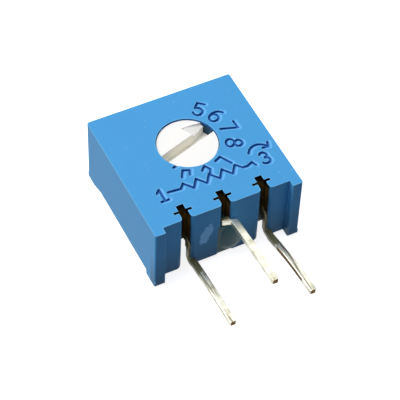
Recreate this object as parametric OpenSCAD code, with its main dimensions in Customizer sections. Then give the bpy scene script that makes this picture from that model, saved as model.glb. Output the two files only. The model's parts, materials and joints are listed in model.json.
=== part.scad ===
// Single-turn trimmer potentiometer, 3/8 inch square, for mounting on edge.
// Frame: +Z out of the adjust face, -Y along the pins. X = 0 is the centre line,
// Y = 0 the board plane and Z = 0 the middle plane of the middle terminal.
// Millimetres.

/* [Housing] */
// Side of the square housing, with the standoff ribs
body_w = 9.53; // [9:0.01:11]
// Height from the adjust face to the underside, without the feet
body_h = 4.5; // [4.3:0.01:5.5]
// Thickness of the side and back walls
wall = 0.7; // [0.5:0.05:0.9]
// Thickness of the adjust face, which guides the rotor
face_t = 1.2; // [1.15:0.01:1.3]
// Radius of the upright outer corners
corner_r = 0.12; // [0.05:0.01:0.3]
// Radius of the corners inside the cavity
cavity_r = 0.5; // [0.2:0.05:1]

/* [Ribs and feet] */
// Width of a standoff rib on the pin side
rib_w = 0.66; // [0.5:0.01:0.8]
// Standoff of the ribs in front of the recessed wall
rib_out = 0.43; // [0.3:0.01:0.5]
// Height of the feet below the underside
foot_h = 0.36; // [0.2:0.01:0.6]
// Length of a front foot, from the board plane
front_foot_l = 1.2; // [0.9:0.05:1.6]
// Length of the flat of a back foot
back_foot_l = 0.85; // [0.6:0.05:1.4]
// Width of a back foot
back_foot_w = 1.3; // [0.9:0.05:2]
// Length of the ramp from a back foot up to the underside
ramp_l = 1; // [0.4:0.05:1.6]
// Radius on the outer lower edges of the feet
foot_r = 0.2; // [0.05:0.01:0.3]

/* [Terminal slots] */
// Distance between neighbouring terminals
pitch = 2.54; // [2.3:0.01:2.7]
// Width of the slot's throat
slot_w = 0.56; // [0.5:0.01:0.7]
// Depth of a slot behind the recessed wall
slot_depth = 1.1; // [0.95:0.01:1.2]
// Width of the slot's blind head
head_w = 0.47; // [0.3:0.01:0.54]
// Length of the slot's blind head
head_l = 0.39; // [0.2:0.01:0.5]
// Span of the cross arms
arm_span = 1.16; // [0.8:0.01:1.4]
// Thickness of the cross arms
arm_t = 0.17; // [0.1:0.01:0.25]
// Radius of the slot's mouth
mouth_r = 0.22; // [0.05:0.01:0.3]
// Radius of the slot's lower corners
flare_r = 0.36; // [0.1:0.01:0.4]
// Thickness of the web between the slots and the cavity
web = 0.31; // [0.25:0.01:0.45]

/* [Rotor] */
// Radius of the rotor's visible face
rotor_r = 1.86; // [1.8:0.01:2]
// Running gap between moving and fixed pieces
run_gap = 0.04; // [0.02:0.01:0.06]
// Distance of the rotor's axis behind the middle of the housing
rotor_back = 0.83; // [0.6:0.01:0.95]
// Depth of the rotor's face below the adjust face
recess = 0.1; // [0.05:0.01:0.15]
// Direction of the arrow, in degrees from +X
arrow_deg = 17.2; // [-60:0.1:240]
// Mechanical travel between the stops, in degrees
travel = 310; // [280:1:315]
// Radius of the retaining flange
flange_r = 2.35; // [2.3:0.01:2.4]
// Thickness of the retaining flange
flange_t = 0.25; // [0.2:0.01:0.28]
// Height of the stop lug beyond the flange
lug_out = 0.3; // [0.2:0.01:0.35]
// Angle that the stop lug takes up
lug_deg = 26; // [20:1:30]
// Radius of the staking peg
peg_r = 0.3; // [0.2:0.01:0.4]

/* [Driver slot] */
// Width of the driver slot
driver_w = 0.64; // [0.5:0.01:0.8]
// Depth of the driver slot
driver_depth = 0.76; // [0.4:0.01:0.78]
// Distance along the slot at which the arrow starts
barb_root = 0.75; // [0.5:0.01:1.1]
// Distance of the arrow's barb along the slot
barb_along = 0.52; // [0.3:0.01:0.9]
// Distance of the arrow's barb from the slot's middle
barb_off = 1.12; // [0.9:0.01:1.3]
// Distance from the slot's middle of its flared wall at the rim
flare_off = 0.52; // [0.4:0.01:0.6]
// Distance from the slot's middle at which the arrow's edge meets the rim
tip_off = 0.69; // [0.5:0.01:0.85]
// Depth of the arrow's facet where it meets the slot
facet_depth = 0.3; // [0.1:0.01:0.4]

/* [Seal ring] */
// Thickness of the ring
seal_t = 0.24; // [0.18:0.01:0.26]
// Gap between the ring and its groove
seal_gap = 0.01; // [0.005:0.005:0.02]

/* [Wiper] */
// Thickness of the spring sheet
wiper_t = 0.07; // [0.05:0.01:0.1]
// Radius of the wiper's flat
wiper_r = 1.3; // [1.1:0.01:1.4]
// Width of one finger
finger_w = 0.16; // [0.1:0.01:0.18]
// Distance between neighbouring fingers
finger_pitch = 0.24; // [0.2:0.01:0.3]
// Number of fingers
fingers = 3; // [1:1:3]
// Gap between the fingers' tips and the films
contact_gap = 0.01; // [0.005:0.005:0.03]
// Length of a finger's curled tip
curl_l = 0.12; // [0.05:0.01:0.2]
// Length over which a finger joins the flat
root_l = 0.2; // [0.15:0.01:0.3]
// Width of the tongue that presses on the collector
tongue_w = 0.4; // [0.3:0.01:0.5]
// Length of the tongue
tongue_l = 0.45; // [0.35:0.01:0.5]

/* [Element] */
// Thickness of the ceramic
element_t = 0.64; // [0.5:0.01:0.8]
// Clearance of the ceramic in the cavity
element_gap = 0.05; // [0.04:0.005:0.08]
// Thickness of the printed films
film_t = 0.03; // [0.02:0.005:0.035]
// Radius of the middle of the resistive track
track_r = 2.02; // [1.9:0.01:2.1]
// Width of the resistive track
track_w = 0.6; // [0.5:0.01:0.7]
// Radius of the collector
collector_r = 1; // [0.8:0.01:1.2]
// Width of the collector's neck
neck_w = 0.6; // [0.4:0.01:0.7]
// Width of a solder pad
pad_w = 0.8; // [0.65:0.01:1]
// Angle that the resistive track spans
track_deg = 290; // [270:1:295]
// Angle that an end pad adds to the track
pad_deg = 18; // [12:1:22]

/* [Terminals] */
// Width of a pin
pin_w = 0.4; // [0.3:0.01:0.46]
// Thickness of the terminals
pin_t = 0.36; // [0.26:0.01:0.4]
// Length of the pins in front of the board plane
pin_l = 4.6; // [3:0.05:7]
// Depth of the middle terminal's middle below the adjust face
mid_depth = 1.68; // [1.6:0.01:1.8]
// Height of the middle terminal above the outer ones
row_gap = 2.54; // [2.4:0.01:2.6]
// Sideways set of the outer terminals from their slots
outer_set = 0.4; // [0.36:0.01:0.5]
// Sideways set of pin 1 at its root
root_set_1 = 0.46; // [0:0.01:0.7]
// Sideways set of pin 2 at its root
root_set_2 = 0.44; // [0:0.01:0.7]
// Sideways set of pin 3 at its root
root_set_3 = 0.38; // [0:0.01:0.7]
// Sideways set of pin 1 at its tip
tip_set_1 = 0.56; // [0:0.01:0.8]
// Sideways set of pin 2 at its tip
tip_set_2 = 0.6; // [0:0.01:0.8]
// Sideways set of pin 3 at its tip
tip_set_3 = 0.72; // [0:0.01:0.8]
// Length of the sideways bend of an outer pin
jog_l = 0.42; // [0.3:0.01:0.6]
// Length of the sideways bend of the middle pin
mid_jog_l = 0.2; // [0.15:0.01:0.3]
// Length of a terminal's tab below the ceramic
tab_l = 0.7; // [0.6:0.01:0.9]
// Distance of an outer terminal's leg behind the recessed wall
leg_back = 0.12; // [0.12:0.01:0.2]
// Distance of the back of the middle terminal's leg behind the recessed wall
mid_back = 0.45; // [0.4:0.01:0.5]
// Inner radius of the bends
bend_r = 0.08; // [0.05:0.01:0.1]
// Clearance of the strips in the housing
strip_gap = 0.03; // [0.01:0.01:0.04]
// Radius of the solder fillets
solder_r = 0.36; // [0.3:0.01:0.4]

/* [Potting] */
// Depth of the resin's surface inside the underside
pour_gap = 0.1; // [0.02:0.01:0.14]
// Distance of the bead's upper end below the middle pin
bead_drop = 0.19; // [0.1:0.01:0.5]
// Half the width of the resin bead in front of the middle slot
bead_half = 0.72; // [0.5:0.01:0.8]
// Length of the bead's straight part
bead_l = 0.86; // [0.5:0.02:0.9]
// Standoff of the bead in front of the recessed wall
bead_out = 0.26; // [0.1:0.01:0.4]
// Width of the void behind the leg of terminal 1
void_w = 1; // [0.7:0.01:1.2]
// Length of the void behind the leg of terminal 1
void_l = 0.45; // [0.35:0.01:0.5]
// Distance of the bead's middle to the right of the middle slot
bead_shift = 0.43; // [0:0.01:0.5]

/* [Hidden] */
$fn = 64;
// Overlap of a cut past the face that it opens
over = 0.1;
sides = [-1, 1];

// Levels, from the adjust face down
face_z = mid_depth;
wall_z = face_z - face_t;
rotor_z = face_z - recess;
flange_z = wall_z - run_gap;
wiper_z = flange_z - flange_t;
film_z = -pin_t / 2;
element_z = film_z - film_t;
low_z = -row_gap;
under_z = face_z - body_h;
pour_z = under_z + pour_gap;
bead_z = -pin_t / 2 - bead_drop;
foot_z = under_z - foot_h;
tab_z = element_z - element_t - film_t;
bend_z = low_z + pin_t / 2 + bend_r;

// Places along the pins, from the board plane back
head_y = rib_out + slot_depth;
cavity_y = head_y + web;
cavity_back = body_w - wall;
element_y = cavity_y + element_gap;
axis_y = body_w / 2 + rotor_back;
tab_end = element_y + tab_l;
leg_y = rib_out + leg_back;
mid_leg_y = rib_out + mid_back - pin_t;

// Sideways sets of the pins, and half the width of the middle strip in its slot
root_set = [root_set_1, root_set_2, root_set_3];
tip_set = [tip_set_1, tip_set_2, tip_set_3];
tab_half = slot_w / 2 - strip_gap;
// Start and end of each pin's sideways bend, the steps in it and along a pin, and the
// bevel of a sheared tip
jog_from = [rib_out, mid_leg_y - bend_r, rib_out];
jog_to = [rib_out - jog_l, mid_leg_y - bend_r - mid_jog_l, rib_out - jog_l];
jog_steps = 8;
leg_steps = 5;
burr_l = 0.08;
// Number of equal arcs that make up the track
arcs = 2;

// The housing's bore, chamber and cavity
bore_r = rotor_r + run_gap;
chamber_r = flange_r + lug_out + 2 * run_gap;
cavity_half = body_w / 2 - wall;
driver_z = rotor_z - driver_depth;
seal_z = (driver_z + flange_z) / 2;
groove_r = bore_r - seal_t - 2 * seal_gap;

// The stops: what the lug and its post leave of a full turn is the travel
stop_deg = 270;
stop_gap = 0.5;
post_deg = 360 - travel - lug_deg - 2 * stop_gap;
post_in = flange_r + run_gap;

// A rectangle with four round corners, from y0 to y1 and centred on X
module round_plate(half, y0, y1, r) {
    translate([-half, y0 + r]) square([2 * half, y1 - y0 - 2 * r]);
    translate([r - half, y0]) square([2 * half - 2 * r, y1 - y0]);
    for (s = sides, y = [y0 + r, y1 - r]) translate([s * (half - r), y]) circle(r);
}

// A stretch of a ring between two directions less than 180 degrees apart
module ring_arc(inner, outer, from, to) {
    far = outer / cos((to - from) / 2) + over;
    intersection() {
        difference() {
            circle(outer);
            circle(inner);
        }
        polygon([[0, 0], far * [cos(from), sin(from)], far * [cos(to), sin(to)]]);
    }
}

// A plan shape made solid between two levels
module slab(z0, z1) {
    translate([0, 0, z0]) linear_extrude(z1 - z0) children();
}

// A side profile, drawn as Y and Z, made solid across X
module across(width) {
    rotate([90, 0, 90]) translate([0, 0, -width / 2]) linear_extrude(width) children();
}

// ---- Housing ----

module body_plan() {
    difference() {
        round_plate(body_w / 2, 0, body_w, corner_r);
        translate([rib_w - body_w / 2, -over]) square([body_w - 2 * rib_w, over + rib_out]);
    }
}

// The cavity that the ceramic and the resin fill
module cavity_plan(gap = 0) {
    round_plate(cavity_half - gap, cavity_y + gap, cavity_back - gap, cavity_r);
}

// One terminal slot: throat, cross arms, blind head and rounded mouth
module slot_plan() {
    throat_l = slot_depth - head_l;
    translate([-slot_w / 2, rib_out - over]) square([slot_w, throat_l + over]);
    translate([-arm_span / 2, head_y - head_l - arm_t]) square([arm_span, arm_t]);
    translate([-head_w / 2, head_y - head_l - over]) square([head_w, head_l + over]);
    difference() {
        translate([-slot_w / 2 - mouth_r, rib_out - over])
            square([slot_w + 2 * mouth_r, mouth_r + over]);
        for (s = sides) translate([s * (slot_w / 2 + mouth_r), rib_out + mouth_r])
            circle(mouth_r);
        for (s = sides) translate([s * (slot_w / 2 + mouth_r) - mouth_r, rib_out + mouth_r])
            square([2 * mouth_r, over]);
    }
}

// The rounded lower corners of the wall beside a slot
module slot_flare(corners) {
    translate([0, head_y, 0]) rotate([90, 0, 0]) linear_extrude(slot_depth + over)
        for (s = corners) mirror([s < 0 ? 1 : 0, 0]) difference() {
            translate([slot_w / 2 - over, under_z - over]) square(flare_r + over);
            translate([slot_w / 2 + flare_r, under_z + flare_r]) circle(flare_r);
        }
}

// The way of a terminal between y0 and y1, open below so that the terminal drops in
module notch(width, y0, y1, z0, z1) {
    half = width / 2 + strip_gap;
    translate([-half, y0, z0]) cube([2 * half, y1 - y0, z1 - z0]);
}

// Room over the ceramic for the printed films that reach its front edge
module film_relief() {
    half = pitch + outer_set + pad_w / 2 + run_gap;
    translate([-half, cavity_y - over, element_z - over])
        cube([2 * half, axis_y - track_r - cavity_y + over, over + film_t + run_gap / 2]);
}

// A front foot carries on the rib, and a back foot ramps up to the underside
module front_foot() {
    across(rib_w) difference() {
        translate([0, foot_z]) square([front_foot_l, foot_h + over]);
        difference() {
            translate([-over, foot_z - over]) square(foot_r + over);
            translate([foot_r, foot_z + foot_r]) circle(foot_r);
        }
    }
}

module back_foot() {
    flat = body_w - back_foot_l;
    across(back_foot_w) difference() {
        polygon([[body_w, foot_z], [flat, foot_z], [flat - ramp_l, under_z],
            [flat - ramp_l, under_z + over], [body_w, under_z + over]]);
        difference() {
            translate([body_w - foot_r, foot_z - over]) square(foot_r + over);
            translate([body_w - foot_r, foot_z + foot_r]) circle(foot_r);
        }
    }
}

// The rotor's chamber, less the post that stops the lug
module chamber_plan() {
    difference() {
        circle(chamber_r);
        ring_arc(post_in, chamber_r + over, stop_deg - post_deg / 2, stop_deg + post_deg / 2);
    }
}

module housing() {
    color("#3f86cf") difference() {
        union() {
            slab(under_z, face_z) body_plan();
            for (s = sides) {
                translate([s * (body_w - rib_w) / 2, 0, 0]) front_foot();
                translate([s * (body_w - back_foot_w) / 2, 0, 0]) back_foot();
            }
        }
        translate([0, axis_y, wall_z - over]) cylinder(h = face_t + 2 * over, r = bore_r);
        translate([0, axis_y, 0]) slab(element_z - over, wall_z) chamber_plan();
        slab(foot_z - over, element_z) cavity_plan();
        for (x = [-pitch, 0, pitch]) translate([x, 0, 0])
            slab(foot_z - over, face_z + over) slot_plan();
        slot_flare(sides);
        notch(2 * tab_half, head_y - over, cavity_y + over, foot_z - over,
            tab_z + strip_gap);
        for (s = sides) {
            translate([s * pitch, 0, 0]) slot_flare([-1]);
            translate([s * pitch + outer_set, 0, 0]) {
                notch(pin_w, rib_out - over, leg_y, foot_z - over, bend_z);
                notch(pin_w, leg_y - strip_gap, cavity_y + over, foot_z - over,
                    tab_z + strip_gap);
            }
        }
        film_relief();
    }
}

// ---- Rotor ----

// The sloping facet that widens the driver slot into a half arrow
module arrow_facet() {
    slope = atan(facet_depth / (barb_off - driver_w / 2));
    rim = sqrt(rotor_r * rotor_r - tip_off * tip_off);
    intersection() {
        slab(-rotor_r, over) polygon([[barb_root, 0], [barb_root, driver_w / 2],
            [barb_along, barb_off], [rim, tip_off], [2 * rotor_r, tip_off], [2 * rotor_r, 0]]);
        translate([0, barb_off, 0]) rotate([slope, 0, 0])
            translate([-2 * rotor_r, -2 * rotor_r, 0]) cube(4 * rotor_r);
    }
}

// Shank, retaining flange, stop lug and the peg that stakes the wiper
module rotor_blank() {
    translate([0, 0, wiper_z]) cylinder(h = rotor_z - wiper_z, r = rotor_r);
    translate([0, 0, wiper_z]) cylinder(h = flange_t, r = flange_r);
    translate([0, 0, wiper_z - wiper_t]) cylinder(h = wiper_t + over, r = peg_r);
    slab(wiper_z, flange_z)
        ring_arc(rotor_r, flange_r + lug_out, -lug_deg / 2, lug_deg / 2);
}

// The groove round the shank, between the driver slot and the flange
module seal_groove() {
    groove_t = seal_t + 2 * seal_gap;
    translate([0, 0, seal_z - groove_t / 2]) difference() {
        cylinder(h = groove_t, r = bore_r);
        translate([0, 0, -over]) cylinder(h = groove_t + 2 * over, r = groove_r);
    }
}

// Turns a piece that is drawn with its arrow along +X to where the rotor stands
module on_axis() {
    translate([0, axis_y, 0]) rotate(arrow_deg) children();
}

module rotor() {
    color("#f4f2e8") on_axis() difference() {
        rotor_blank();
        translate([-bore_r, -driver_w / 2, driver_z])
            cube([2 * bore_r, driver_w, driver_depth + over]);
        slab(driver_z, rotor_z + over) polygon([[barb_root, 0], [barb_root, driver_w / 2],
            [rotor_r, flare_off], [2 * rotor_r, flare_off], [2 * rotor_r, 0]]);
        translate([0, 0, rotor_z]) arrow_facet();
        seal_groove();
    }
}

module rotor_seal() {
    color("#7d3a2c") translate([0, axis_y, seal_z]) rotate_extrude()
        translate([groove_r + seal_gap + seal_t / 2, 0]) circle(seal_t / 2);
}

// ---- Wiper ----

// One spring finger in side view, from the flat at start to its curled tip
module finger(start, tip, width) {
    dir = sign(tip - start);
    low = film_z + contact_gap;
    high = wiper_z - wiper_t;
    translate([0, width / 2, 0]) rotate([90, 0, 0]) linear_extrude(width)
        polygon([[start - dir * root_l, wiper_z], [start, wiper_z],
            [tip, low + wiper_t], [tip + dir * curl_l, low + wiper_t + curl_l / 2],
            [tip + dir * curl_l, low + curl_l / 2], [tip, low],
            [start, high], [start - dir * root_l, high]]);
}

// A flat staked below the rotor, with split fingers for the track and a tongue
// bent out of the flat for the collector
module wiper() {
    window_l = wiper_r - root_l - peg_r - root_l;
    color("#c9b98a") on_axis() {
        difference() {
            translate([0, 0, wiper_z - wiper_t]) cylinder(h = wiper_t, r = wiper_r);
            translate([0, 0, wiper_z - wiper_t - over])
                cylinder(h = wiper_t + 2 * over, r = peg_r);
            translate([root_l - wiper_r, -tongue_w / 2 - run_gap, wiper_z - wiper_t - over])
                cube([window_l, tongue_w + 2 * run_gap, wiper_t + 2 * over]);
        }
        for (i = [0:fingers - 1])
            translate([0, (i - (fingers - 1) / 2) * finger_pitch, 0])
                finger(wiper_r - over, track_r, finger_w);
        finger(root_l - wiper_r, root_l - wiper_r + tongue_l, tongue_w);
    }
}

// ---- Ceramic element and its printed films ----

module element() {
    color("#ece9e0") slab(element_z - element_t, element_z) cavity_plan(element_gap);
}

module film() {
    slab(element_z, film_z) children();
}

module resistive_track() {
    half = track_deg / 2;
    color("#2b2b2d") film() translate([0, axis_y]) for (i = [0:arcs - 1])
        ring_arc(track_r - track_w / 2, track_r + track_w / 2,
            90 - half + i * track_deg / arcs, 90 - half + (i + 1) * track_deg / arcs);
}

// A pad over the front edge of the ceramic and on below it, to a terminal's tab
module edge_pad(x) {
    translate([x - pad_w / 2, element_y - film_t, tab_z])
        cube([pad_w, film_t, film_z - tab_z]);
    translate([x - pad_w / 2, element_y - film_t, tab_z])
        cube([pad_w, tab_end + solder_r - element_y + film_t, film_t]);
}

module collector_track() {
    color("#b9b6ad") {
        film() {
            translate([0, axis_y]) circle(collector_r);
            translate([-neck_w / 2, element_y]) square([neck_w, axis_y - element_y]);
        }
        edge_pad(0);
    }
}

// An end pad goes on from the track's end to a terminal's place
module end_pad(s) {
    pad_x = pitch + s * outer_set;
    low = 90 - track_deg / 2 - pad_deg;
    inner = track_r - track_w / 2;
    outer = track_r + track_w / 2;
    mirror([s < 0 ? 1 : 0, 0, 0]) {
        film() {
            translate([0, axis_y]) ring_arc(inner, outer, low, low + pad_deg);
            polygon([[inner * cos(low), axis_y + inner * sin(low)],
                [outer * cos(low + pad_deg), axis_y + outer * sin(low + pad_deg)],
                [pad_x + pad_w / 2, element_y], [pad_x - pad_w / 2, element_y]]);
        }
        edge_pad(pad_x);
    }
}

module end_pad_1() {
    color("#b9b6ad") end_pad(-1);
}

module end_pad_3() {
    color("#b9b6ad") end_pad(1);
}

// ---- Terminals ----

// Share of the way from 0 to 1, with a smooth start and end
function eased(t) = (1 - cos(180 * min(max(t, 0), 1))) / 2;

// Share of pin i's sideways bend that is done at y
function jogged(i, y) = eased((jog_from[i] - y) / (jog_from[i] - jog_to[i]));

// Sideways place of pin i at y: straight at its leg, bent from there to its root and
// leaning from the root to its tip
function set_at(i, y) =
    let (start = i == 1 ? 0 : outer_set,
        lean = min((jog_to[i] - y) / (jog_to[i] + pin_l), 1))
    y >= jog_to[i] ? start + (root_set[i] - start) * jogged(i, y)
    : root_set[i] + (tip_set[i] - root_set[i]) * lean * (2 - lean);

// Half the width of pin i at y
function half_at(i, y) =
    let (start = i == 1 ? tab_half : pin_w / 2)
    y <= -pin_l ? (pin_w - burr_l) / 2
    : start + (pin_w / 2 - start) * jogged(i, y);

// Plan of pin i from y = inner to its sheared tip
module strip_plan(i, inner) {
    jog = jog_to[i] - jog_from[i];
    leg = burr_l - pin_l - jog_to[i];
    ys = concat(inner > jog_from[i] ? [inner] : [],
        [for (k = [0:jog_steps]) jog_from[i] + jog * k / jog_steps],
        [for (k = [1:leg_steps]) jog_to[i] + leg * k / leg_steps], [-pin_l]);
    last = len(ys) - 1;
    polygon(concat([for (k = [0:last]) [set_at(i, ys[k]) - half_at(i, ys[k]), ys[k]]],
        [for (k = [last:-1:0]) [set_at(i, ys[k]) + half_at(i, ys[k]), ys[k]]]));
}

// Side view of a strip: a tab below the ceramic, forward to a leg that goes down to an
// outer pin (turn = 1) or up to the middle one (turn = -1), and the bend out to the pin
module leg_side(y, pin_z, turn) {
    outer = bend_r + pin_t;
    tab_mid = tab_z - pin_t / 2;
    knee_z = tab_mid - turn * (bend_r + pin_t / 2);
    ankle_z = pin_z + turn * (bend_r + pin_t / 2);
    knee_y = y + outer;
    translate([knee_y, tab_mid - pin_t / 2]) square([tab_end - knee_y, pin_t]);
    translate([knee_y, knee_z]) mirror([0, turn < 0 ? 1 : 0])
        ring_arc(bend_r, outer, 90, 180);
    translate([y, min(knee_z, ankle_z)]) square([pin_t, abs(knee_z - ankle_z)]);
    translate([y - bend_r, ankle_z]) mirror([0, turn < 0 ? 1 : 0])
        ring_arc(bend_r, outer, 270, 360);
}

// The middle strip fills the width of its slot and stands in the slot's mouth
module terminal_2() {
    color("#d9d6cc") {
        across(2 * tab_half) leg_side(mid_leg_y, 0, -1);
        slab(-pin_t / 2, pin_t / 2) strip_plan(1, mid_leg_y - bend_r);
    }
}

module outer_terminal(i) {
    color("#d9d6cc") translate([(i - 1) * pitch, 0, 0]) {
        translate([outer_set, 0, 0]) across(pin_w) leg_side(leg_y, low_z, 1);
        slab(low_z - pin_t / 2, low_z + pin_t / 2) strip_plan(i, leg_y - bend_r);
    }
}

module terminal_1() {
    outer_terminal(0);
}

module terminal_3() {
    outer_terminal(2);
}

// ---- Solder ----

// Half a ball of solder below a pad
module solder_ball(z) {
    translate([0, 0, z]) intersection() {
        sphere(solder_r);
        translate([0, 0, -solder_r]) cube(2 * solder_r, center = true);
    }
}

module solder_1() {
    color("#a8a9a6") difference() {
        translate([outer_set - pitch, tab_end, 0]) solder_ball(tab_z);
        terminal_1();
    }
}

module solder_2() {
    color("#a8a9a6") difference() {
        translate([0, tab_end, 0]) solder_ball(tab_z);
        terminal_2();
    }
}

module solder_3() {
    color("#a8a9a6") difference() {
        translate([outer_set + pitch, tab_end, 0]) solder_ball(tab_z);
        terminal_3();
    }
}

// ---- Potting ----

// The resin that came out of the middle slot, a low dome on the recessed wall
module bead() {
    r = (bead_half * bead_half + bead_out * bead_out) / (2 * bead_out);
    intersection() {
        translate([bead_shift, rib_out - bead_out + r, bead_z - bead_half]) {
            sphere(r);
            translate([0, 0, -bead_l]) sphere(r);
            translate([0, 0, -bead_l]) cylinder(h = bead_l, r = r);
        }
        translate([bead_shift - r, 0, under_z]) cube([2 * r, rib_out, bead_z - under_z]);
    }
}

// Resin in the cavity below the ceramic, round the strips and out through the middle
// slot, with a void behind the leg of terminal 1
module potting() {
    color("#2e4446") difference() {
        union() {
            slab(pour_z, element_z - element_t) cavity_plan();
            translate([pitch + outer_set, 0, 0]) notch(pin_w, head_y, cavity_y, pour_z, tab_z);
            notch(2 * tab_half, head_y, cavity_y, pour_z, tab_z);
            slab(pour_z, bead_z) intersection() {
                slot_plan();
                translate([-arm_span, rib_out]) square([2 * arm_span, slot_depth]);
            }
            bead();
        }
        translate([outer_set - pitch, cavity_y - over, pour_z - over])
            across(void_w) square([void_l + over, tab_z - pin_t - pour_z + over]);
        terminal_1();
        terminal_2();
        terminal_3();
        collector_track();
        end_pad_1();
        end_pad_3();
        solder_1();
        solder_2();
        solder_3();
    }
}

housing();
rotor();
rotor_seal();
wiper();
element();
resistive_track();
collector_track();
end_pad_1();
end_pad_3();
terminal_1();
terminal_2();
terminal_3();
solder_1();
solder_2();
solder_3();
potting();
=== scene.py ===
"""Dresses the trimmer potentiometer: moulded marks, finishes, floor, light and camera."""

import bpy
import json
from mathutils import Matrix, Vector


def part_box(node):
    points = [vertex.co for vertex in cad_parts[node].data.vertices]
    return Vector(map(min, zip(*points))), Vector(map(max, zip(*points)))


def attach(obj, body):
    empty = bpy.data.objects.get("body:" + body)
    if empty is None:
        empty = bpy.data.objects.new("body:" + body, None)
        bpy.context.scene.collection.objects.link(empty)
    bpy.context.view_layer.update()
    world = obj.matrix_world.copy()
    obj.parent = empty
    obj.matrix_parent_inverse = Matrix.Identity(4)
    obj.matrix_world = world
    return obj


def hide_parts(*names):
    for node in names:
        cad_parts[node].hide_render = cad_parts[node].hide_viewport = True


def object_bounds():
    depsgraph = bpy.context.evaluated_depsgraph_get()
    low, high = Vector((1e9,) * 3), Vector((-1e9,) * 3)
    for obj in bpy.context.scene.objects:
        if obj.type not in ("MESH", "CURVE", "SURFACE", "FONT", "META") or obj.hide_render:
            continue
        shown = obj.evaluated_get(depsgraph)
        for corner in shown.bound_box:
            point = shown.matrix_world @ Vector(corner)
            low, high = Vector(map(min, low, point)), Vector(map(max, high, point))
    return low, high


bl_info = {
    "name": "Trimmer Potentiometer Looks",
    "version": (1, 0, 0),
    "blender": (4, 5, 0),
    "location": "View3D > Sidebar > Trimmer",
    "description": "Marks, finishes and stage for a sealed single-turn trimmer",
    "category": "Object",
}

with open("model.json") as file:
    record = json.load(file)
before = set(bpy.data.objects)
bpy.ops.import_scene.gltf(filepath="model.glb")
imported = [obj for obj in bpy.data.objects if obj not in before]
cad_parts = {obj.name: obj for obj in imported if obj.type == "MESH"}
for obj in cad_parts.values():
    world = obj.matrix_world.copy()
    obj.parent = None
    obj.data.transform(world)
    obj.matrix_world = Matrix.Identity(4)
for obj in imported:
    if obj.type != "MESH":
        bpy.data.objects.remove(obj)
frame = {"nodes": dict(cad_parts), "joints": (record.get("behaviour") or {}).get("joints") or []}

import json
import math

import bmesh
import bpy
from bpy.props import FloatProperty, FloatVectorProperty, PointerProperty
from bpy.types import Operator, Panel, PropertyGroup
from mathutils import Matrix, Vector

MM = 0.001
CAD_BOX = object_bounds()
HOUSING_LOW, HOUSING_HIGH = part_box("housing")
FACE = Vector(((HOUSING_LOW.x + HOUSING_HIGH.x) / 2, (HOUSING_LOW.y + HOUSING_HIGH.y) / 2,
               HOUSING_HIGH.z))
AXIS = Vector(frame["joints"][0]["pos_m"])


# ---- Colours and nodes ----

WHITE = (1, 1, 1, 1)


def linear(hex_colour):
    """An sRGB hex value, such as 3F86CF, as the linear colour that a socket takes."""
    parts = [int(hex_colour[i:i + 2], 16) / 255 for i in (0, 2, 4)]
    return [p / 12.92 if p <= 0.04045 else ((p + 0.055) / 1.055) ** 2.4 for p in parts] + [1.0]


def add_node(tree, kind, settings=None, **inputs):
    """Adds a node with its settings. An input is a value, a socket to link, or a node, which
    stands for its first output in use. in0, in1 and so on are inputs by number."""
    node = tree.nodes.new(kind)
    for key, value in (settings or {}).items():
        setattr(node, key, value)
    for key, value in inputs.items():
        numbered = key.startswith("in") and key[2:].isdigit()
        socket = node.inputs[int(key[2:]) if numbered else key.replace("_", " ")]
        if isinstance(value, bpy.types.Node):
            value = next(output for output in value.outputs if output.enabled)
        if isinstance(value, bpy.types.NodeSocket):
            tree.links.new(value, socket)
        else:
            socket.default_value = value
    return node


# ---- Shapes ----

MERGE_DISTANCE = 0.002 * MM
CUT_MERGE_DISTANCE = 0.0005 * MM
FLAT_ANGLE = math.radians(0.5)
WIDE_FLAT_AREA = 0.3 * MM * MM


def merged_copy(node):
    """A bmesh of a CAD node with its doubles merged and its flat faces whole."""
    bm = bmesh.new()
    bm.from_mesh(frame["nodes"][node].data)
    bmesh.ops.remove_doubles(bm, verts=bm.verts, dist=MERGE_DISTANCE)
    bmesh.ops.dissolve_limit(bm, angle_limit=FLAT_ANGLE, verts=bm.verts, edges=bm.edges)
    return bm


def round_edges(bm, radius_mm, limit_deg=40, segments=2, chosen=lambda edge: True):
    """Rounds the edges that turn more than limit_deg."""
    edges = [e for e in bm.edges if e.is_manifold and chosen(e)
             and e.calc_face_angle(0) > math.radians(limit_deg)]
    bmesh.ops.bevel(bm, geom=edges, offset=radius_mm * MM, offset_type="OFFSET", affect="EDGES",
                    segments=segments, profile=0.5, material=-1, clamp_overlap=True)


def smooth(bm, limit_deg=38):
    """Shades smooth all but the wide flats and the edges that turn more than limit_deg."""
    for face in bm.faces:
        face.smooth = face.calc_area() < WIDE_FLAT_AREA
    for edge in bm.edges:
        edge.smooth = not (edge.is_manifold and edge.calc_face_angle(0) > math.radians(limit_deg))


def make_piece(name, bm, body, slot, materials, *nodes):
    """Turns a bmesh into a piece that rides on a body and stands for CAD nodes."""
    mesh = bpy.data.meshes.new(name)
    bm.to_mesh(mesh)
    bm.free()
    piece = bpy.data.objects.new(name, mesh)
    bpy.context.scene.collection.objects.link(piece)
    for material in materials:
        mesh.materials.append(material)
    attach(piece, body)
    if nodes:
        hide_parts(*nodes)
    return piece


def dress(node, material):
    """Gives a CAD node that stays its material."""
    for slot in frame["nodes"][node].material_slots:
        slot.material = material


# ---- Marks sunk into the adjust face ----

# Strokes are lists of (x, y) in millimetres from the middle of the face, and a figure's own
# strokes stand in a cell that is one high.
CELL_MIDDLE = (0.31, 0.5)
SCALE_RADIUS = 2.76
SCALE_HEIGHT = 0.98


def arc(cx, cy, rx, ry, start, end, steps=8):
    """Points along an elliptic arc, in degrees."""
    turns = [math.radians(start + (end - start) * i / steps) for i in range(steps + 1)]
    return [(cx + rx * math.cos(t), cy + ry * math.sin(t)) for t in turns]


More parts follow.
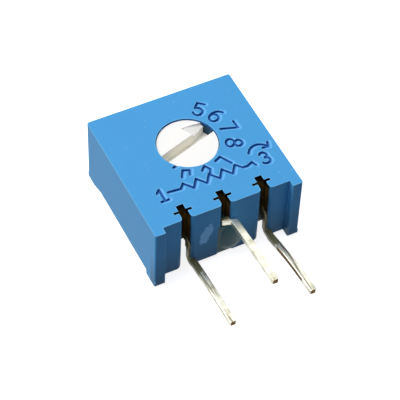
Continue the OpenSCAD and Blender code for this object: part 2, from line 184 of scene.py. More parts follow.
def numeral(figure):
    """The strokes of a plain figure in a cell one high and about 0.62 wide."""
    return {
        "1": [[(0.12, 0.76), (0.36, 1.0), (0.36, 0.0)], [(0.1, 0.0), (0.62, 0.0)]],
        "3": [arc(0.3, 0.75, 0.26, 0.25, 150, -80), arc(0.3, 0.27, 0.3, 0.27, 80, -150)],
        "5": [[(0.58, 1.0), (0.12, 1.0), (0.08, 0.56)], arc(0.3, 0.31, 0.3, 0.31, 125, -150)],
        "6": [arc(0.52, 0.4, 0.5, 0.6, 95, 180, 6), arc(0.31, 0.3, 0.29, 0.3, 180, -180, 12)],
        "7": [[(0.04, 1.0), (0.6, 1.0), (0.24, 0.0)]],
        "8": [arc(0.31, 0.76, 0.24, 0.24, -90, 270, 12), arc(0.31, 0.26, 0.3, 0.26, 90, -270, 12)],
    }[figure]


def placed(strokes, x, y, turn_deg=0.0, height=1.0):
    """Strokes of a figure centred on a place and turned."""
    c, s = math.cos(math.radians(turn_deg)), math.sin(math.radians(turn_deg))
    out = []
    for stroke in strokes:
        local = [((px - CELL_MIDDLE[0]) * height, (py - CELL_MIDDLE[1]) * height)
                 for px, py in stroke]
        out.append([(x + px * c - py * s, y + px * s + py * c) for px, py in local])
    return out


def zigzag_strokes():
    """The resistor sign between the outer terminals."""
    peaks, pitch, first, high, low = 5, 0.843, -1.62, -1.87, -2.43
    line = [(-2.7, -2.1), (-1.9, -2.18)]
    for i in range(peaks):
        line += [(first + i * pitch, high), (first + (i + 0.53) * pitch, low)]
    line[-1] = (2.11, -2.26)
    line += [(2.4, -2.27), (2.76, -2.12), (2.88, -2.4)]
    return [line]


def wiper_strokes():
    """The wiper's arrow onto the sign, and the ends of the turning arrow round the rotor."""
    return [
        [(-0.18, -1.47), (0.1, -1.2), (0.31, -1.54), (0.15, -1.87)],
        [(0.85, -1.14), (1.25, -0.96), (1.65, -1.65)],
        [(-1.6, -0.56), (-1.43, -0.51)],
        [(-1.47, -1.42), (-1.2, -0.96), (-0.82, -1.12), (-0.95, -1.42)],
    ]


def turn_strokes():
    """A small clockwise arrow."""
    curve = arc(3.55, -1.75, 0.72, 0.72, 155, 25, 7)
    tip = curve[-1]
    return [curve, [(tip[0] - 0.34, tip[1] + 0.04), tip, (tip[0] + 0.12, tip[1] + 0.34)]]


def figure_strokes():
    """The terminals' numbers and a stretch of a plain scale round the rotor."""
    axis_y = (AXIS.y - FACE.y) / MM
    strokes = []
    for figure, x, y, height in (("1", -3.15, -2.15, 0.88), ("3", 3.6, -2.14, 0.86)):
        strokes += placed(numeral(figure), x, y, 0, height)
    for figure, angle in zip("5678", (50, 26, 2, -25)):
        t = math.radians(angle)
        strokes += placed(numeral(figure), SCALE_RADIUS * math.cos(t),
                          axis_y + SCALE_RADIUS * math.sin(t), angle - 90, SCALE_HEIGHT)
    return strokes


def groove_cutter(bm, strokes, low, high, depth, rise):
    """Adds a tapered cutter for each straight stretch of each stroke. It is 2 * low wide at
    its floor and 2 * high wide where it ends above the face."""
    for stroke in strokes:
        for start, end in zip(stroke, stroke[1:]):
            verts = []
            for x, y in (start, end):
                place = Matrix.Translation((FACE.x + x * MM, FACE.y + y * MM,
                                            FACE.z + (rise - depth) / 2))
                verts += bmesh.ops.create_cone(
                    bm, cap_ends=True, segments=12, radius1=low, radius2=high,
                    depth=depth + rise, matrix=place)["verts"]
            faces = {f for v in verts for f in v.link_faces}
            bmesh.ops.delete(bm, geom=list(faces), context="FACES_ONLY")
            hull = bmesh.ops.convex_hull(bm, input=verts)
            inner = [g for g in hull["geom_interior"] if isinstance(g, bmesh.types.BMVert)]
            bmesh.ops.delete(bm, geom=inner, context="VERTS")


def cut(bm, cutter):
    """Takes the cutter out of a bmesh and returns the result with its flat faces whole."""
    pair = []
    for name, part in (("body_to_cut", bm), ("cutter", cutter)):
        mesh = bpy.data.meshes.new(name)
        part.to_mesh(mesh)
        part.free()
        thing = bpy.data.objects.new(name, mesh)
        bpy.context.scene.collection.objects.link(thing)
        pair.append(thing)
    modifier = pair[0].modifiers.new("marks", "BOOLEAN")
    modifier.operation = "DIFFERENCE"
    modifier.solver = "EXACT"
    modifier.use_self = True
    modifier.object = pair[1]
    result = pair[0].evaluated_get(bpy.context.evaluated_depsgraph_get())
    out = bmesh.new()
    out.from_mesh(result.to_mesh())
    result.to_mesh_clear()
    for thing in pair:
        mesh = thing.data
        bpy.data.objects.remove(thing)
        bpy.data.meshes.remove(mesh)
    bmesh.ops.remove_doubles(out, verts=out.verts, dist=CUT_MERGE_DISTANCE)
    bmesh.ops.dissolve_limit(out, angle_limit=FLAT_ANGLE, verts=out.verts, edges=out.edges)
    return out


# ---- Finishes ----

# Places in the part that the masks go by
FRONT_WALL_BACK = 0.6 * MM      # the front wall lies before this
SLOTS_BACK = 1.9 * MM           # the slots end before it, and the marks begin behind it
SLOTS_SIDE = 3.4 * MM           # to both sides of the middle
MARKS_BACK = 9.3 * MM
MARKS_SIDE = 4.6 * MM
OUTER_PINS_TOP = -1.2 * MM      # the outer terminals' pins lie below it, the middle one's above
HOUSING_FRONT = 0.5 * MM        # the terminals are inside the housing behind it


def start_material(name):
    """An empty material, its tree and the object coordinates that its patterns read."""
    material = bpy.data.materials.new(name)
    material.use_nodes = True
    tree = material.node_tree
    tree.nodes.clear()
    return material, tree, add_node(tree, "ShaderNodeTexCoord").outputs["Object"]


def end_material(tree, grain, depth_mm, strength, **shader):
    """Ends a material with a relief that follows the grain, the shader and the output."""
    relief = add_node(tree, "ShaderNodeBump", Strength=strength, Distance=depth_mm * MM,
                      Height=grain)
    surface = add_node(tree, "ShaderNodeBsdfPrincipled", Normal=relief, **shader)
    add_node(tree, "ShaderNodeOutputMaterial", {"is_active_output": True}, Surface=surface)


def zone(tree, parts, limits, level=1.0):
    """The level where a place keeps to all the limits, and 0 elsewhere. Each limit is an axis,
    a comparison and a coordinate."""
    for axis, comparison, limit in limits:
        kept = add_node(tree, "ShaderNodeMath", {"operation": comparison}, in0=parts[axis],
                        in1=limit)
        level = add_node(tree, "ShaderNodeMath", {"operation": "MULTIPLY"}, in0=level, in1=kept)
    return level


def rub_mask(tree, place):
    """A leaf-shaped rub mark on the wall between slots 1 and 2, ragged at its edge."""
    middle, half = Vector((-1.25, 0.44, -0.5)), Vector((0.55, 0.3, 1.4))
    lean = math.radians(17)
    moved = add_node(tree, "ShaderNodeMapping", {"vector_type": "TEXTURE"}, Vector=place,
                     Location=middle * MM, Rotation=(0, lean, 0), Scale=half * MM)
    away = add_node(tree, "ShaderNodeVectorMath", {"operation": "LENGTH"}, in0=moved)
    tears = add_node(tree, "ShaderNodeTexNoise", Vector=place, Scale=1 / (0.25 * MM), Detail=3.0)
    ragged = add_node(tree, "ShaderNodeMath", {"operation": "MULTIPLY_ADD"}, in0=tears, in1=0.7,
                      in2=away)
    return add_node(tree, "ShaderNodeMapRange", Value=ragged, From_Min=1.0, From_Max=0.95)


def greyer_low_mask(tree, parts, rubbed):
    """Darker and greyer towards the bottom of the front wall, except on the rub mark."""
    thick = add_node(tree, "ShaderNodeMapRange", Value=parts["Z"], From_Min=-0.2 * MM,
                     From_Max=-2.8 * MM, To_Max=0.5)
    free = add_node(tree, "ShaderNodeMath", {"operation": "SUBTRACT"}, in0=1.0, in1=rubbed)
    greying = add_node(tree, "ShaderNodeMath", {"operation": "MULTIPLY"}, in0=thick, in1=free)
    return zone(tree, parts, [("Y", "LESS_THAN", FRONT_WALL_BACK)], greying)


def edge_highlight_mask(tree, radius_mm):
    """A thin line along the outer edges, painted pale as a highlight."""
    rounded = add_node(tree, "ShaderNodeBevel", {"samples": 4}, Radius=radius_mm * MM)
    true = add_node(tree, "ShaderNodeNewGeometry").outputs["Normal"]
    match = add_node(tree, "ShaderNodeVectorMath", {"operation": "DOT_PRODUCT"}, in0=rounded,
                     in1=true)
    return add_node(tree, "ShaderNodeMapRange", Value=match, From_Min=0.99, From_Max=0.88,
                    To_Max=0.8)


def sunk_mask(tree, parts):
    """Everything sunk into the adjust face behind the slots, the marks and the bore, where shade
    and a rim highlight are painted.
    """
    return zone(tree, parts, [
        ("Z", "LESS_THAN", FACE.z - 0.004 * MM), ("Y", "GREATER_THAN", SLOTS_BACK),
        ("Y", "LESS_THAN", MARKS_BACK), ("X", "LESS_THAN", MARKS_SIDE),
        ("X", "GREATER_THAN", -MARKS_SIDE)], 0.85)


def sunk_shade_and_highlight(tree, parts):
    """What a mark or the bore shows from its rim down: a painted highlight on the pale rim, then
    painted shade that darkens the walls and the floor with depth, to near black in the bore.
    """
    tones = linear("6EB8EE")
    for start_mm, end_mm, tone in ((0.035, 0.06, "1C58A8"), (0.165, 0.2, "0A2A58"),
                                   (0.2, 0.5, "1E1008")):
        reached = add_node(tree, "ShaderNodeMapRange", Value=parts["Z"],
                           From_Min=FACE.z - start_mm * MM, From_Max=FACE.z - end_mm * MM)
        tones = add_node(tree, "ShaderNodeMix", {"data_type": "RGBA"}, in0=reached, in6=tones,
                         in7=linear(tone))
    return tones


def slot_mask(tree, parts):
    """The insides of the three terminal slots, below the adjust face, where shade is painted."""
    behind_mouth = add_node(tree, "ShaderNodeMapRange", Value=parts["Y"], From_Min=0.46 * MM,
                            From_Max=0.62 * MM)
    return zone(tree, parts, [
        ("Y", "LESS_THAN", SLOTS_BACK), ("X", "LESS_THAN", SLOTS_SIDE),
        ("X", "GREATER_THAN", -SLOTS_SIDE), ("Z", "LESS_THAN", FACE.z - 0.02 * MM)],
        behind_mouth)


def slot_painted_shade(tree, parts):
    """Painted shade in the slots: brown-black, painted paler towards the back and near black
    just below the adjust face.
    """
    back = add_node(tree, "ShaderNodeMapRange", Value=parts["Y"], From_Min=FRONT_WALL_BACK,
                    From_Max=1.4 * MM)
    top = add_node(tree, "ShaderNodeMapRange", Value=parts["Z"], From_Min=FACE.z - 0.6 * MM,
                   From_Max=FACE.z - 0.3 * MM)
    tones = linear("3A2C12")
    for mask, tone in ((back, "7A5E2C"), (top, "1A120E")):
        tones = add_node(tree, "ShaderNodeMix", {"data_type": "RGBA"}, in0=mask, in6=tones,
                         in7=linear(tone))
    return tones


def moulded_thermoset(look):
    """Diallyl phthalate compound moulded in a sparked tool: an even dull blue with faint flow
    clouds, a fine grain and pale specks of filler. Painted shade darkens the slots and the sunk
    marks and bore, with a painted highlight on the mark rims and along the outer edges. The wall
    is darker and greyer low down, and a rub mark is burnished. The grain and the specks are
    drawn coarser than a sparked tool and ground filler leave them, so that they show."""
    material, tree, place = start_material("moulded_diallyl_phthalate")
    parts = add_node(tree, "ShaderNodeSeparateXYZ", Vector=place).outputs
    clouds = add_node(tree, "ShaderNodeTexNoise", Vector=place, Scale=1 / (3.2 * MM), Detail=4.0)
    filler = add_node(tree, "ShaderNodeTexNoise", Vector=place, Scale=1 / (0.2 * MM), Detail=1.0)
    specks = add_node(tree, "ShaderNodeMapRange", Value=filler, From_Min=0.74, From_Max=0.77,
                      To_Max=0.3)
    rubbed = rub_mask(tree, place)
    burnished = add_node(tree, "ShaderNodeMath", {"operation": "MULTIPLY"}, in0=rubbed, in1=0.85)
    in_slots = slot_mask(tree, parts)
    tone = [*look.colour, 1.0]
    for mask, over in ((clouds, [c * 0.95 for c in look.colour] + [1.0]),
                       (specks, linear("9CC4E4")),
                       (burnished, linear("6CC4FF")),
                       # darker and greyer towards the bottom of the front wall
                       (greyer_low_mask(tree, parts, rubbed), linear("3C4A58")),
                       # painted highlight along the outer edges
                       (edge_highlight_mask(tree, 0.09), linear("8CD4F6")),
                       # painted shade in the sunk marks and the bore, with a painted highlight on
                       # the mark rims
                       (sunk_mask(tree, parts), sunk_shade_and_highlight(tree, parts)),
                       # painted shade in the slots, which also lowers their gloss
                       (in_slots, slot_painted_shade(tree, parts))):
        tone = add_node(tree, "ShaderNodeMix", {"data_type": "RGBA"}, in0=mask, in6=tone,
                        in7=over)
    gloss = add_node(tree, "ShaderNodeMapRange", Value=in_slots, To_Min=look.gloss, To_Max=0.05)
    gloss = add_node(tree, "ShaderNodeMath", {"operation": "MULTIPLY_ADD"}, in0=rubbed, in1=0.3,
                     in2=gloss)
    grain = add_node(tree, "ShaderNodeTexNoise", Vector=place, Scale=1 / (0.14 * MM), Detail=2.0)
    end_material(tree, grain, 0.004, 0.6, Base_Color=tone, Roughness=look.roughness, IOR=1.55,
                 Specular_IOR_Level=gloss)
    return material


def glass_filled_nylon(look):
    """Glass-filled nylon in its natural warm white: slightly waxy, with a fine fibre mottle, and
    a painted warm shade in the driver slot. Glass fibres are about 0.01 mm thick, so the mottle
    and the grain are drawn coarser, to show."""
    material, tree, place = start_material("glass_filled_nylon")
    mottle = add_node(tree, "ShaderNodeTexNoise", Vector=place, Scale=1 / (0.7 * MM), Detail=4.0)
    height = add_node(tree, "ShaderNodeSeparateXYZ", Vector=place).outputs["Z"]
    slot_warm_shade = add_node(tree, "ShaderNodeMapRange", Value=height, From_Min=FACE.z - 0.15 * MM,
                       From_Max=FACE.z - 0.5 * MM)
    darker = [c * k for c, k in zip(look.colour, (0.98, 0.97, 0.92))] + [1.0]
    tone = [*look.colour, 1.0]
    # the driver slot gets a painted warm shade
    for mask, over in ((mottle, darker), (slot_warm_shade, linear("FFFBEE"))):
        tone = add_node(tree, "ShaderNodeMix", {"data_type": "RGBA"}, in0=mask, in6=tone,
                        in7=over)
    grain = add_node(tree, "ShaderNodeTexNoise", Vector=place, Scale=1 / (0.12 * MM), Detail=3.0)
    end_material(tree, grain, 0.004, 0.5, Base_Color=tone, Roughness=look.roughness, IOR=1.53,
                 Subsurface_Weight=0.12, Subsurface_Scale=0.5 * MM,
                 Subsurface_Radius=(1.0, 0.85, 0.6))
    return material


def tinned_copper(look):
    """Hot-dipped tin on rolled copper strip: bright and slightly uneven, with faint drawing
    lines along the strip and dull patches where the tin is thin. A painted olive shade, less
    metallic, darkens the outer pins' roots and everything inside the housing. The lines are
    drawn coarser than a rolling mill leaves them, so that they show."""
    material, tree, place = start_material("hot_tinned_copper")
    parts = add_node(tree, "ShaderNodeSeparateXYZ", Vector=place).outputs
    lengthwise = add_node(tree, "ShaderNodeMapping", Vector=place, Scale=(1, 0.05, 1))
    patches = add_node(tree, "ShaderNodeTexNoise", Vector=place, Scale=1 / (0.6 * MM), Detail=4.0)
    thin = add_node(tree, "ShaderNodeMapRange", Value=patches, From_Min=0.45, From_Max=0.75)
    flecks = add_node(tree, "ShaderNodeTexNoise", Vector=place, Scale=1 / (0.2 * MM), Detail=4.0)
    ragged = add_node(tree, "ShaderNodeMath", {"operation": "MULTIPLY_ADD"}, in0=flecks,
                      in1=1.9 * MM, in2=parts["Y"])
    root = add_node(tree, "ShaderNodeMapRange", Value=ragged, From_Min=0.05 * MM,
                    From_Max=0.4 * MM)
    streaks = add_node(tree, "ShaderNodeTexNoise", Vector=lengthwise, Scale=1 / (0.13 * MM),
                       Detail=2.0)
    worn = add_node(tree, "ShaderNodeMapRange", Value=streaks, From_Min=0.5, From_Max=0.6,
                    To_Max=0.75)
    outer_pins = [("Z", "LESS_THAN", OUTER_PINS_TOP)]
    # painted olive shade, less metallic, at the outer pins' roots and everywhere inside the housing
    painted_root_shade = add_node(tree, "ShaderNodeMath", {"operation": "MAXIMUM"},
                     in0=zone(tree, parts, outer_pins, root),
                     in1=zone(tree, parts, [("Y", "GREATER_THAN", HOUSING_FRONT)]))
    tone = [*look.tin_colour, 1.0]
    for mask, over in ((thin, "B9B79F"), (painted_root_shade, "8A8860"),
                       (zone(tree, parts, outer_pins, worn), "5C5236")):
        tone = add_node(tree, "ShaderNodeMix", {"data_type": "RGBA"}, in0=mask, in6=tone,
                        in7=linear(over))
    bright = add_node(tree, "ShaderNodeMapRange", Value=painted_root_shade, To_Min=0.85, To_Max=0.15)
    rough = add_node(tree, "ShaderNodeMath", {"operation": "MULTIPLY_ADD"}, in0=patches,
                     in1=0.22, in2=0.22)
    lines = add_node(tree, "ShaderNodeTexNoise", Vector=lengthwise, Scale=1 / (0.08 * MM),
                     Detail=3.0)
    end_material(tree, lines, 0.004, 0.6, Base_Color=tone, Metallic=bright, Roughness=rough)
    return material


def cast_epoxy(look):
    """Filled epoxy, cast and cured: dark teal with a soft skin, fine filler and a few specks,
    which are drawn coarser than they are, so that they show."""
    material, tree, place = start_material("cast_epoxy")
    clouds = add_node(tree, "ShaderNodeTexNoise", Vector=place, Scale=1 / (0.9 * MM), Detail=4.0)
    filler = add_node(tree, "ShaderNodeTexNoise", Vector=place, Scale=1 / (0.12 * MM), Detail=1.0)
    specks = add_node(tree, "ShaderNodeMapRange", Value=filler, From_Min=0.72, From_Max=0.76,
                      To_Max=0.4)
    tone = [*look.colour, 1.0]
    for mask, over in ((clouds, "3A5E62"), (specks, "7F9A94")):
        tone = add_node(tree, "ShaderNodeMix", {"data_type": "RGBA"}, in0=mask, in6=tone,
                        in7=linear(over))
    skin = add_node(tree, "ShaderNodeTexNoise", Vector=place, Scale=1 / (0.4 * MM), Detail=4.0)
    end_material(tree, skin, 0.02, 0.5, Base_Color=tone, Roughness=0.38, IOR=1.5,
                 Specular_IOR_Level=0.2)
    return material


def two_toned(name, light, dark, cloud_mm, grain_mm, depth_mm, strength, **shader):
    """A plain finish in clouds of two tones, with a grain in relief. Both are drawn coarser than
    the real powders and crystals, so that they show."""
    material, tree, place = start_material(name)
    clouds, grain = (add_node(tree, "ShaderNodeTexNoise", Vector=place, Scale=1 / (size * MM),
                              Detail=3.0) for size in (cloud_mm, grain_mm))
    tone = add_node(tree, "ShaderNodeMix", {"data_type": "RGBA"}, in0=clouds, in6=light, in7=dark)
    end_material(tree, grain, depth_mm, strength, Base_Color=tone, **shader)
    return material


def sheared_copper(look):
    """The bare copper of a sheared end or side: brown with oxide and torn by the shear."""
    return two_toned("sheared_copper", [*look.copper_colour, 1.0], linear("3A2A10"),
                     0.12, 0.06, 0.01, 0.8, Metallic=1.0, Roughness=0.45)


def fired_alumina():
    """Pressed and fired alumina: matt off-white with a fine grain."""
    return two_toned("fired_alumina", linear("ECE9E0"), linear("DCD8CC"),
                     0.1, 0.08, 0.005, 0.6, Roughness=0.6, IOR=1.76)


def silicone_rubber():
    """Moulded silicone rubber: red-brown and dull."""
    return two_toned("silicone_rubber", linear("7D3A2C"), linear("6A2F24"),
                     0.2, 0.05, 0.002, 0.5, Roughness=0.55, IOR=1.41)


def thin_metal_or_film(name, hex_colour, metallic, roughness):
    """A fired film, a fillet of solder or rolled sheet: slightly wavy and grainy."""
    light = linear(hex_colour)
    return two_toned(name, light, [c * 0.7 for c in light[:3]] + [1.0],
                     0.15, 0.1, 0.003, 0.5, Metallic=metallic, Roughness=roughness)


# ---- Settings ----

def length_setting(name, default_mm, low_mm, high_mm):
    """A length property in metres."""
    return FloatProperty(name=name, description=f"{name} of the piece", default=default_mm * MM,
                         min=low_mm * MM, max=high_mm * MM, precision=5, unit="LENGTH",
                         subtype="DISTANCE")


def colour_setting(name, hex_value):
    """A colour property."""
    return FloatVectorProperty(name=name, description=f"{name} of the finish", subtype="COLOR",
                               size=3, min=0, max=1, default=linear(hex_value)[:3])


def share_setting(name, default):
    """A property from 0 to 1."""
    return FloatProperty(name=name, description=f"{name} of the finish", default=default, min=0,
                         max=1, subtype="FACTOR")


class TrimmerHousingSettings(PropertyGroup):
    colour: colour_setting("Colour", "50A4DC")
    roughness: share_setting("Roughness", 0.42)
    gloss: share_setting("Gloss", 0.08)
    edge_radius: length_setting("Edge radius", 0.05, 0.0, 0.1)
    mark_width: length_setting("Mark width", 0.19, 0.1, 0.4)
    mark_depth: length_setting("Mark depth", 0.16, 0.02, 0.3)
    mark_rim: length_setting("Mark rim", 0.06, 0.01, 0.1)


class TrimmerRotorSettings(PropertyGroup):
    colour: colour_setting("Colour", "FFFDF6")
    roughness: share_setting("Roughness", 0.5)
    edge_radius: length_setting("Edge radius", 0.025, 0.0, 0.1)


class TrimmerMetalSettings(PropertyGroup):
    tin_colour: colour_setting("Tin colour", "F8F6E4")
    copper_colour: colour_setting("Copper colour", "7E5A1C")
    edge_radius: length_setting("Edge radius", 0.05, 0.0, 0.1)


class TrimmerResinSettings(PropertyGroup):
    colour: colour_setting("Colour", "4E7E84")


class TrimmerStageSettings(PropertyGroup):
    floor_colour: colour_setting("Floor colour", "D8D8D6")
    key: FloatProperty(name="Key light", description="Level that the key light gives a face that "
                       "is turned to it", default=1.13, min=0, max=4)
    side: FloatProperty(name="Side light", description="Level that the side light gives a face "
                        "that is turned to it", default=0.24, min=0, max=4)
    fill: FloatProperty(name="Fill light", description="Level that the fill light gives a face "
                        "that is turned to it", default=0.1, min=0, max=4)
    ambient: FloatProperty(name="Ambient", description="Level of the light from all round",
                           default=0.19, min=0, max=2)
    bounce: share_setting("Floor bounce", 0.15)
    azimuth: FloatProperty(name="Azimuth", description="Direction of the camera round the part",
                           default=math.radians(-28.45), subtype="ANGLE", unit="ROTATION")
    elevation: FloatProperty(name="Elevation", description="Height of the camera above the horizon",
                             default=math.radians(50.89), subtype="ANGLE", unit="ROTATION")
    roll: FloatProperty(name="Roll", description="Tilt of the camera about its own axis",
                        default=math.radians(2.57), subtype="ANGLE", unit="ROTATION")
    distance: length_setting("Distance", 99.76, 20, 1000)
    lens: FloatProperty(name="Lens", description="Focal length on a 36 mm sensor, in millimetres",
                        default=152.5, min=10, max=1000)


# ---- Operators ----

MARK_TAPER = 0.03 * MM      # how much narrower a mark is at its floor, to each side
# The mark rims are chamfers, and their pale colour is a painted highlight.
RIM_SHIFT = 0.05            # how far the worn rims lie to the lower right, in millimetres
RIM_DEPTH = 0.04 * MM
FACE_SKIN = 0.001 * MM
TIP_SKIN = 0.01 * MM
FACES_LEFT = -0.8           # a face whose normal has less along X than this faces left
SHEARED_END_MM = 0.03       # the bare end of a terminal, from its tip
SHEARED_SIDE_MM = (1.0, 4.0)    # the bare stretch of a side of terminal 3, from its tip


class TRIMMER_OT_housing(Operator):
    """Makes the moulded housing with its rounded edges and sunk marks"""

    bl_idname = "trimmer.housing"
    bl_label = "Housing"

    def execute(self, context):
        look = context.scene.trimmer_housing
        bm = merged_copy("housing")
        round_edges(bm, look.edge_radius / MM)
        strokes = zigzag_strokes() + wiper_strokes() + turn_strokes() + figure_strokes()
        half, depth, rim = look.mark_width / 2, look.mark_depth, look.mark_rim
        marks = bmesh.new()
        groove_cutter(marks, strokes, half - MARK_TAPER, half, depth, depth / 2)
        shifted = [[(x + RIM_SHIFT, y - RIM_SHIFT) for x, y in stroke] for stroke in strokes]
        groove_cutter(marks, shifted, half, half + 2 * rim, RIM_DEPTH, RIM_DEPTH)
        bm = cut(bm, marks)
        smooth(bm)
        for edge in bm.edges:
            if all(v.co.z > FACE.z - FACE_SKIN for v in edge.verts):
                edge.smooth = False
        make_piece("moulded_housing", bm, "housing", "housing", [moulded_thermoset(look)],
                   "housing")
        return {"FINISHED"}


class TRIMMER_OT_rotor(Operator):
    """Makes the rotor with its rounded edges"""

    bl_idname = "trimmer.rotor"
    bl_label = "Rotor"

    def execute(self, context):
        look = context.scene.trimmer_rotor
        bm = merged_copy("rotor")
        round_edges(bm, look.edge_radius / MM)
        smooth(bm)
        make_piece("moulded_rotor", bm, "rotor", "rotor", [glass_filled_nylon(look)], "rotor")
        return {"FINISHED"}


class TRIMMER_OT_terminals(Operator):
    """Makes the three terminals with rolled edges, bare sheared ends and one bare side"""

    bl_idname = "trimmer.terminals"
    bl_label = "Terminals"

    def execute(self, context):
        look = context.scene.trimmer_metal
        finishes = [tinned_copper(look), sheared_copper(look)]
        for number in "123":
            node = "terminal_" + number
            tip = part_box(node)[0].y
            bm = merged_copy(node)
            round_edges(bm, look.edge_radius / MM, 30, 3,
                        lambda e: any(v.co.y > tip + TIP_SKIN for v in e.verts))
            for face in bm.faces:
                along = (face.calc_center_median().y - tip) / MM
                bare_side = (number == "3" and face.normal.x < FACES_LEFT
                             and SHEARED_SIDE_MM[0] < along < SHEARED_SIDE_MM[1])
                if along < SHEARED_END_MM or bare_side:
                    face.material_index = 1
            smooth(bm)
            make_piece("tinned_" + node, bm, "housing", "terminal", finishes, node)
        return {"FINISHED"}


class TRIMMER_OT_resin(Operator):
    """Makes the cast resin with its soft edges"""

    bl_idname = "trimmer.resin"
    bl_label = "Resin"

    def execute(self, context):
        look = context.scene.trimmer_resin
        bm = merged_copy("potting")
        smooth(bm)
        make_piece("cast_resin", bm, "housing", "potting", [cast_epoxy(look)], "potting")
        return {"FINISHED"}


class TRIMMER_OT_inner(Operator):
    """Gives the pieces inside the housing their finishes"""

    bl_idname = "trimmer.inner"
    bl_label = "Inner pieces"

    def execute(self, context):
        silver = thin_metal_or_film("fired_silver_palladium", "B9B6AD", 1.0, 0.35)
        solder = thin_metal_or_film("tin_lead_solder", "A8A9A6", 1.0, 0.3)
        dress("element", fired_alumina())
        dress("resistive_track", thin_metal_or_film("fired_cermet", "2B2B2D", 0.0, 0.4))
        for node in ("collector_track", "end_pad_1", "end_pad_3"):
            dress(node, silver)
        for node in ("solder_1", "solder_2", "solder_3"):
            dress(node, solder)
        dress("wiper", thin_metal_or_film("rolled_nickel_silver", "C9B98A", 1.0, 0.25))
        dress("rotor_seal", silicone_rubber())
        return {"FINISHED"}


# Each lamp's direction from the part and its width in metres. Its level is in the settings.
LAMPS = {
    "key": ((-0.35, 0.35, 0.87), 0.22),
    "side": ((-0.85, 0.4, 0.3), 0.2),
    "fill": ((0.7, -0.65, 0.35), 0.3),
}
# Where the camera's axis passes the middle of the adjust face, along its own right and down
AIM_RIGHT, AIM_DOWN = 0.495 * MM, 2.801 * MM


def view_axes(stage):
    """The camera's right, up and back directions, and right and up once it has rolled."""
    a, e, r = stage.azimuth, stage.elevation, stage.roll
    back = Vector((math.sin(a) * math.cos(e), -math.cos(a) * math.cos(e), math.sin(e)))
    right = Vector((math.cos(a), math.sin(a), 0))
    up = back.cross(right)
    return (right, up, back, right * math.cos(r) + up * math.sin(r),
            up * math.cos(r) - right * math.sin(r))


def make_camera(context, stage):
    """A long lens that looks down on the pin side."""
    right, up, back, turned_right, turned_up = view_axes(stage)
    data = bpy.data.cameras.new("camera")
    data.lens, data.sensor_width = stage.lens, 36
    data.clip_start, data.clip_end = 0.005, 10
    camera = bpy.data.objects.new("camera", data)
    context.scene.collection.objects.link(camera)
    aim = FACE + right * AIM_RIGHT - up * AIM_DOWN
    camera.matrix_world = Matrix.Translation(aim + back * stage.distance) @ Matrix(
        (turned_right, turned_up, back)).transposed().to_4x4()
    context.scene.camera = camera


def make_lamp(context, name, direction, level, size, distance=0.25):
    """A soft square lamp. Level is what it gives a white face that is turned to it."""
    data = bpy.data.lights.new(name, "AREA")
    data.shape, data.size = "SQUARE", size
    data.energy = level * (math.pi * distance) ** 2
    lamp = bpy.data.objects.new(name, data)
    context.scene.collection.objects.link(lamp)
    towards = Vector(direction).normalized()
    lamp.location = FACE + towards * distance
    lamp.rotation_euler = towards.to_track_quat("Z", "Y").to_euler()


def make_floor(context, stage):
    """A wide pale floor that the camera and mirrors see as white."""
    bm = bmesh.new()
    bmesh.ops.create_grid(bm, x_segments=1, y_segments=1, size=1.5,
                          matrix=Matrix.Translation((0, 0, CAD_BOX[0].z)))
    mesh = bpy.data.meshes.new("floor")
    bm.to_mesh(mesh)
    bm.free()
    floor = bpy.data.objects.new("floor", mesh)
    context.scene.collection.objects.link(floor)
    mesh.materials.append(pale_card(stage))


def pale_card(stage):
    """Pale card. The camera sees it lifted to white, with the part's own shadow on it, metal and
    clear pieces see it white, and it bounces little light up."""
    material = bpy.data.materials.new("pale_card")
    material.use_nodes = True
    tree = material.node_tree
    tree.nodes.clear()
    path = add_node(tree, "ShaderNodeLightPath").outputs
    mirrored = add_node(tree, "ShaderNodeMath", {"operation": "MAXIMUM"},
                        in0=path["Is Glossy Ray"], in1=path["Is Transmission Ray"])
    dim = add_node(tree, "ShaderNodeBsdfDiffuse", Color=[stage.bounce] * 3 + [1.0])
    white = add_node(tree, "ShaderNodeEmission", Color=WHITE, Strength=1.0)
    card = add_node(tree, "ShaderNodeBsdfDiffuse", Color=[*stage.floor_colour, 1.0])
    glow = add_node(tree, "ShaderNodeEmission", Color=WHITE, Strength=0.85)
    lifted = add_node(tree, "ShaderNodeAddShader", in0=card, in1=glow)
    unseen = add_node(tree, "ShaderNodeMixShader", in0=mirrored, in1=dim, in2=white)
    seen = add_node(tree, "ShaderNodeMixShader", in0=path["Is Camera Ray"], in1=unseen,
                    in2=lifted)
    add_node(tree, "ShaderNodeOutputMaterial", Surface=seen)
    return material


def make_world(context, stage):
    """An even surround: white for what the camera, a reflection or a clear piece sees, and a
    dim, slightly cool light on the part."""
    world = bpy.data.worlds.new("studio")
    world.use_nodes = True
    tree = world.node_tree
    tree.nodes.clear()
    path = add_node(tree, "ShaderNodeLightPath").outputs
    seen = path["Is Camera Ray"]
    for kind in ("Is Glossy Ray", "Is Transmission Ray"):
        seen = add_node(tree, "ShaderNodeMath", {"operation": "MAXIMUM"}, in0=seen,
                        in1=path[kind])
    light = add_node(tree, "ShaderNodeBackground", Color=linear("C8D2FF"),
                     Strength=stage.ambient)
    white = add_node(tree, "ShaderNodeBackground", Color=WHITE, Strength=1.0)
    both = add_node(tree, "ShaderNodeMixShader", in0=seen, in1=light, in2=white)
    add_node(tree, "ShaderNodeOutputWorld", Surface=both)
    context.scene.world = world


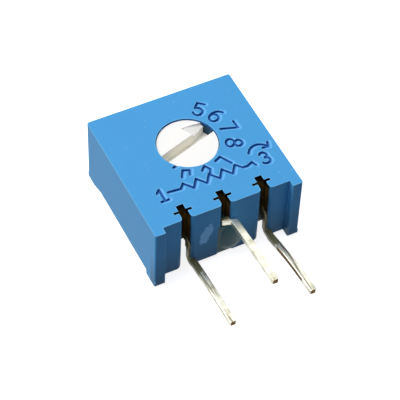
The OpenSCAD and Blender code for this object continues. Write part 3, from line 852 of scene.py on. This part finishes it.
class TRIMMER_OT_stage(Operator):
    """Sets up the floor, the soft lamps and the camera"""

    bl_idname = "trimmer.stage"
    bl_label = "Stage"

    def execute(self, context):
        stage = context.scene.trimmer_stage
        make_floor(context, stage)
        make_world(context, stage)
        for name, (direction, size) in LAMPS.items():
            make_lamp(context, name, direction, getattr(stage, name), size)
        make_camera(context, stage)
        context.scene.view_settings.view_transform = "Standard"
        return {"FINISHED"}


class TRIMMER_PT_panel(Panel):
    """Lists the steps that dress the trimmer"""

    bl_idname = "TRIMMER_PT_panel"
    bl_label = "Trimmer"
    bl_space_type = "VIEW_3D"
    bl_region_type = "UI"
    bl_category = "Trimmer"

    def draw(self, context):
        for group, operator in STEPS:
            box = self.layout.box()
            if group:
                settings = getattr(context.scene, group)
                for name in settings.bl_rna.properties.keys():
                    if name not in ("rna_type", "name"):
                        box.prop(settings, name)
            box.operator(operator.bl_idname)


GROUPS = {
    "trimmer_housing": TrimmerHousingSettings,
    "trimmer_rotor": TrimmerRotorSettings,
    "trimmer_metal": TrimmerMetalSettings,
    "trimmer_resin": TrimmerResinSettings,
    "trimmer_stage": TrimmerStageSettings,
}
STEPS = (
    ("trimmer_stage", TRIMMER_OT_stage),
    ("trimmer_housing", TRIMMER_OT_housing),
    ("trimmer_rotor", TRIMMER_OT_rotor),
    ("trimmer_metal", TRIMMER_OT_terminals),
    ("trimmer_resin", TRIMMER_OT_resin),
    (None, TRIMMER_OT_inner),
)
CLASSES = (*GROUPS.values(), *(operator for _, operator in STEPS), TRIMMER_PT_panel)


def register():
    for cls in CLASSES:
        bpy.utils.register_class(cls)
    for name, group in GROUPS.items():
        setattr(bpy.types.Scene, name, PointerProperty(type=group))


def unregister():
    for name in GROUPS:
        delattr(bpy.types.Scene, name)
    for cls in reversed(CLASSES):
        bpy.utils.unregister_class(cls)


def main():
    """Dresses the part."""
    register()
    for _, operator in STEPS:
        group, name = operator.bl_idname.split(".")
        getattr(getattr(bpy.ops, group), name)()


if __name__ == "__main__":
    main()
